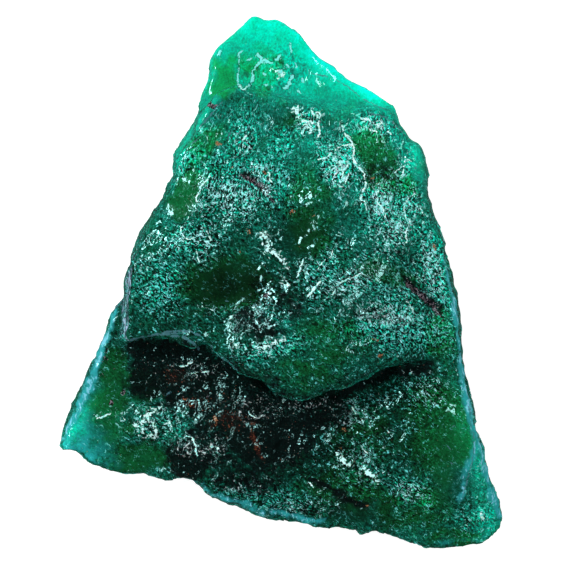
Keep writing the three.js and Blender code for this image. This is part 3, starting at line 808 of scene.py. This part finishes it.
def hollows(per_mm, at):
    """Shallow bowls with sharp rims between them: 0 in each middle, about 0.4 at the rims."""
    near = place.made("TexVoronoi", {"feature": "F1"}, {"Vector": at, "Scale": per_mm}, output="Distance")
    return near * near


def creases(per_mm, detail, at):
    """1 along winding lines and less between them, as on crumpled foil."""
    return 1 - abs(2 * cloud(per_mm, detail, at=at) - 1)


# The grain runs along the stone near the lip, and leans across it further down.
height_on_stone = place.made("SeparateXYZ", {}, {0: place}, output="Y")
upper = height_on_stone.step(3, 10)
upright_grain = drawn_out(-8, 2.0)
leaning_grain = drawn_out(55, 2.0)


def grained(texture):
    """One texture drawn along the upper grain and the lower one, and blended between them."""
    return upper * texture(upright_grain) + (1 - upper) * texture(leaning_grain)


# The textures that the colour and the fine relief are made of.
depth_cloud = cloud(0.45, detail=3.0, roughness=0.6)
coarse_grain = cloud(1.5, at=pushed)
fine_grain = cloud(4.0, detail=3.0, roughness=0.65)
flake_noise = cloud(2.8, detail=3.0, roughness=0.7, at=pushed)
edge_noise = cloud(1.3, detail=4.0, roughness=0.65)
fleck_noise = grained(lambda at: cloud(5.0, detail=1.0, at=at))
curls = grained(lambda at: creases(2.2, 1.0, at))
specks = creases(3.8, 1.0, pushed)
lace = upper * creases(5.5, 0.0, drawn_out(-8, 3.8)) + (1 - upper) * creases(5.5, 0.0, drawn_out(50, 3.4))
dust = cloud(7.5, detail=0.0)
streaks = cloud(3.0, roughness=0.6, at=drawn_out(0, 5.0))
wide_hollows = grained(lambda at: hollows(1.5, at))
small_hollows = grained(lambda at: hollows(3.2, at))
plain = mark("smooth")
rough_part = 1 - 0.75 * plain

patchy = cloud(0.6, at=pushed)
broken = (patchy + 0.16 * mark("glints") + 0.10 * mark("sugary")).step(0.42, 0.60)

# How light each spot is: the tone kept at the mesh's points, with the grain on it, and where glints gather,
# painted light on the curls' crests and painted shade between them.
grain_tone = 1.4 * (fine_grain - 0.5) + 0.6 * (curls - 0.8) + 0.5 * (specks - 0.8) + 0.9 * (dust - 0.5)
grain_tone = grain_tone + 0.5 * (lace - 0.8) + 1.5 * (fleck_noise - 0.5)
grain_tone = grain_tone * (0.40 + 1.0 * mark("sugary")) + 0.15 * (coarse_grain - 0.5)
level = mark("tone") + 0.14 * (patchy - 0.5) + 0.18 * (depth_cloud - 0.5) + rough_part * grain_tone
level = level + 0.5 * (streaks - 0.5) * mark("wall") + 0.8 * (curls - 0.86) * mark("glints")
teal = level.made("ValToRGB", {"stops": TEAL_STOPS}, {"Fac": level})
green = level.made("ValToRGB", {"stops": GREEN_STOPS}, {"Fac": level})
greenness = (mark("olive") * 0.8 + 0.3 * (1 - broken) + 0.6 * (depth_cloud - 0.5)).step(0.1, 0.9)

# Where the painted light in the rims, the stain with its painted ledge shadow, its rust and the painted
# glints show.
pale_rim_glow = (mark("rims") - mark("lip") + 3.0 * (streaks - 0.5)).step(0.9, 1.1)
stain_and_shadow_cover = (mark("stained") + 1.4 * (edge_noise - 0.5)).step(0.25, 0.80)
rust_grains = (mark("rust") + 2.8 * (dust - 0.5) + 2.2 * (flake_noise - 0.5)).step(1.0, 1.35)
clustered = 0.35 * (coarse_grain - 0.5) + 0.1 * (patchy - 0.5) + 0.10 * mark("sugary")
painted_sparkle_flecks = (0.5 * dust + 0.5 * fleck_noise + clustered).step(0.72, 0.80)
painted_glint_threads = lace.step(0.85, 0.95) * (0.25 * fleck_noise + 0.75 * flake_noise + clustered).step(0.55, 0.63)
glint_arc_cover = flake_noise + 0.22 * mark("glints") + clustered - 0.1 * plain
painted_glint_arcs = curls.step(0.86, 0.96) * glint_arc_cover.step(0.72, 0.84)
painted_glint_shards = (0.8 * mark("bruises") + 2.4 * (flake_noise - 0.5) + 0.8 * (curls - 0.8)).step(0.66, 0.84)
unbroken = 1.4 * coarse_grain.step(0.30, 0.55)


def hairline(name, shake=0.5, spread=0.0, softness=0.03):
    """A thin line that shakes, swells and breaks off along its length. Its spread adds a band around it."""
    shaken = mark(name + "_across") + shake * (flake_noise - 0.5)
    return (mark(name + "_width") * (unbroken + spread) - abs(shaken)).step(0, softness)


crack = hairline("crack", shake=1.3)
bright = hairline("bright")
off_lip = 1 - mark("lip")

# The colours laid over the crystal, each with where it shows, the lowest first. Many of them are painted
# light, shade, glints and reflections.
layers = [
    # Painted light through thin edges, a painted pale sheen on the walls, and painted light in the rims.
    (shade(40, 175, 185), 0.6 * mark("thin") * edge_noise.step(0.35, 0.6)),
    (shade(40, 130, 132), 0.3 * mark("wall") * edge_noise.step(0.50, 0.65)),
    (shade(46, 160, 166), 0.8 * (mark("rims") + 1.2 * (edge_noise - 0.5)).step(0.3, 0.8)),
    (shade(116, 192, 212), 0.9 * pale_rim_glow),
    # The left wall: a painted shade as its ground, and pale streaks on it, frost with a painted reflection
    # of the pale room.
    (shade(38, 62, 72), 0.7 * (mark("frosted") + 1.2 * (edge_noise - 0.5)).step(0.2, 1.0)),
    (shade(158, 180, 206), 0.8 * (mark("frosted") + 3.0 * (streaks - 0.5)).step(0.95, 1.3)),
    # Painted glints: threads, brighter where glints gather, and sparkling flecks.
    (shade(104, 212, 212), 0.85 * painted_glint_threads * rough_part * off_lip),
    (shade(206, 246, 250), 0.9 * painted_glint_threads * mark("glints") * off_lip),
    (shade(156, 230, 232), 0.9 * painted_sparkle_flecks * rough_part * off_lip),
    # The black stain with the painted shadow under the ledge, painted glints of flecks that show through it,
    # and its rust.
    (shade(6, 12, 12), 0.96 * stain_and_shadow_cover),
    (shade(190, 200, 196), 0.7 * painted_sparkle_flecks * stain_and_shadow_cover),
    (shade(42, 16, 14), 0.6 * (mark("rust") + 0.9 * (edge_noise - 0.5)).step(0.3, 0.9)),
    (shade(120, 66, 44), 0.8 * rust_grains),
    # Open cracks with painted pale glints in them, and loose grains of rust.
    (shade(14, 13, 18), 0.95 * crack),
    (shade(150, 140, 150), 0.6 * lace.step(0.86, 0.96) * crack),
    (shade(146, 96, 66), 0.85 * (mark("grains") + 1.6 * (dust - 0.5)).step(0.55, 0.75)),
    # Painted glints: faint threads along the brink and edges, curls on the crystal and on the stain, and
    # shards over the raised ridges.
    (shade(66, 108, 118), 0.8 * hairline("faint")),
    (shade(166, 238, 240), 0.8 * painted_glint_arcs * (1 - 0.92 * stain_and_shadow_cover)),
    (shade(196, 212, 214), 0.85 * painted_glint_arcs * curls.step(0.91, 0.98) * stain_and_shadow_cover),
    (shade(200, 246, 242), 0.9 * painted_glint_shards),
    # Painted highlights: bright threads, each in a band of painted shade and with painted glints along it.
    (shade(2, 40, 34), 0.5 * hairline("bright", spread=1.0, softness=0.06)),
    (shade(120, 226, 218), 0.9 * bright),
    (shade(225, 252, 248), 0.8 * bright * fine_grain.step(0.42, 0.52) * off_lip),
]
colour = teal.tinted(green, greenness)
for tint, cover in layers:
    colour = colour.tinted(tint, cover)

# The polish, and a relief finer than the mesh's, of hollows, flecks and curls in millimetres.
roughness = 0.07 + 0.03 * mark("sugary") + 0.05 * coarse_grain.step(0.5, 0.6)
small_relief = 0.04 * small_hollows + 0.015 * fleck_noise + 0.012 * curls.step(0.65, 1.0)
small_relief = small_relief * (0.15 + 0.4 * broken + 0.4 * mark("sugary") + 0.5 * mark("stained"))
height = (0.05 * wide_hollows + 0.025 * curls.step(0.65, 1.0)) * mark("glints") + small_relief
height = height * rough_part + 0.04 * mark("bruises")
bump = place.made("Bump", {}, {"Strength": 1.0, "Distance": 1.0 * MM, "Height": height})
tree.links.new(colour.socket, surface.inputs["Base Color"])
tree.links.new(roughness.socket, surface.inputs["Roughness"])
tree.links.new(bump.socket, surface.inputs["Normal"])
surface.inputs["IOR"].default_value = 1.58
surface.inputs["Specular IOR Level"].default_value = 0.25
surface.inputs["Specular Tint"].default_value = (0.45, 1.0, 0.97, 1)
surface.inputs["Subsurface Weight"].default_value = 0.35
surface.inputs["Subsurface Radius"].default_value = (0.2, 1.0, 0.75)
surface.inputs["Subsurface Scale"].default_value = 1.2 * MM
emerald.data.materials.append(glassy)

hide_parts("rough_emerald")
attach(emerald, "root")


# The stage: a plain pale floor, lit from itself so that it stays white, and dim where the stone mirrors it.
# Three soft lights stand half way up the sky, at the upper left, the left and the right.
FLOOR_REACH = 3
WHITE = (1, 1, 1, 1)
floor_mesh = bpy.data.meshes.new("floor")
floor_form = bmesh.new()
bmesh.ops.create_grid(floor_form, x_segments=1, y_segments=1, size=FLOOR_REACH)
floor_form.to_mesh(floor_mesh)
floor_form.free()
floor = bpy.data.objects.new("floor", floor_mesh)
bpy.context.scene.collection.objects.link(floor)
paper = bpy.data.materials.new("pale_paper")
paper.use_nodes = True
paper_nodes = paper.node_tree.nodes
paper_surface = paper_nodes["Principled BSDF"]
paper_surface.inputs["Base Color"].default_value = (0.45, 0.45, 0.45, 1)
paper_surface.inputs["Roughness"].default_value = 0.9
paper_surface.inputs["Specular IOR Level"].default_value = 0.1
paper_surface.inputs["Emission Color"].default_value = WHITE
paper_surface.inputs["Emission Strength"].default_value = 0.85
lit_paper = Signal(paper.node_tree, paper_surface.outputs["BSDF"])
mirrored = lit_paper.made("LightPath", {}, {}, output="Is Glossy Ray")
dim_paper = lit_paper.made("Emission", {}, {"Strength": 0.05})
either_paper = lit_paper.made("MixShader", {}, {"Fac": mirrored, 1: lit_paper, 2: dim_paper})
paper.node_tree.links.new(either_paper.socket, paper_nodes["Material Output"].inputs["Surface"])
floor.data.materials.append(paper)

LIGHT_WIDTH = 11


def soft_light(name, azimuth, elevation, strength):
    """A far light, its place in degrees round from the right and up from the floor."""
    lamp = bpy.data.lights.new(name, "SUN")
    lamp.energy = strength
    lamp.angle = math.radians(LIGHT_WIDTH)
    holder = bpy.data.objects.new(name, lamp)
    bpy.context.scene.collection.objects.link(holder)
    turn = math.radians(azimuth)
    rise = math.radians(elevation)
    towards = Vector((math.cos(turn) * math.cos(rise), math.sin(turn) * math.cos(rise), math.sin(rise)))
    holder.rotation_euler = towards.to_track_quat("Z", "Y").to_euler()


soft_light("top_light", azimuth=142, elevation=43, strength=1.85)
soft_light("left_light", azimuth=168, elevation=40, strength=0.9)
soft_light("right_light", azimuth=25, elevation=46, strength=0.8)

# The room lights the stone softly, is nearly dark where the stone mirrors it, and is pale behind it.
PALE = (0.95, 0.95, 0.95, 1)
world = bpy.data.worlds.new("studio")
bpy.context.scene.world = world
world.use_nodes = True
world_nodes = world.node_tree.nodes
nearly_dark = world_nodes["Background"]
nearly_dark.inputs["Color"].default_value = WHITE
nearly_dark.inputs["Strength"].default_value = 0.06
dark_room = Signal(world.node_tree, nearly_dark.outputs["Background"])
fill = dark_room.made("Background", {}, {"Color": WHITE, "Strength": 0.46})
backdrop = dark_room.made("Background", {}, {"Color": PALE})
mirrored = dark_room.made("LightPath", {}, {}, output="Is Glossy Ray")
seen = dark_room.made("LightPath", {}, {}, output="Is Camera Ray")
around = dark_room.made("MixShader", {}, {"Fac": mirrored, 1: fill, 2: dark_room})
room = dark_room.made("MixShader", {}, {"Fac": seen, 1: around, 2: backdrop})
world.node_tree.links.new(room.socket, world_nodes["World Output"].inputs["Surface"])

# The camera looks straight down from far off. Half way up the stone, the picture is PHOTO_HEIGHT tall.
PHOTO_HEIGHT = 58.2 * MM
HALF_WAY_UP = 8 * MM
TO_THE_RIGHT = 0.35 * MM
TO_THE_TOP = -0.95 * MM
LENS = 200
SENSOR = 36
camera_data = bpy.data.cameras.new("camera")
camera_data.lens = LENS
camera_data.sensor_width = SENSOR
camera = bpy.data.objects.new("camera", camera_data)
camera.location = (TO_THE_RIGHT, TO_THE_TOP, HALF_WAY_UP + PHOTO_HEIGHT * LENS / SENSOR)
bpy.context.scene.collection.objects.link(camera)
bpy.context.scene.camera = camera
bpy.context.scene.view_settings.view_transform = "Standard"
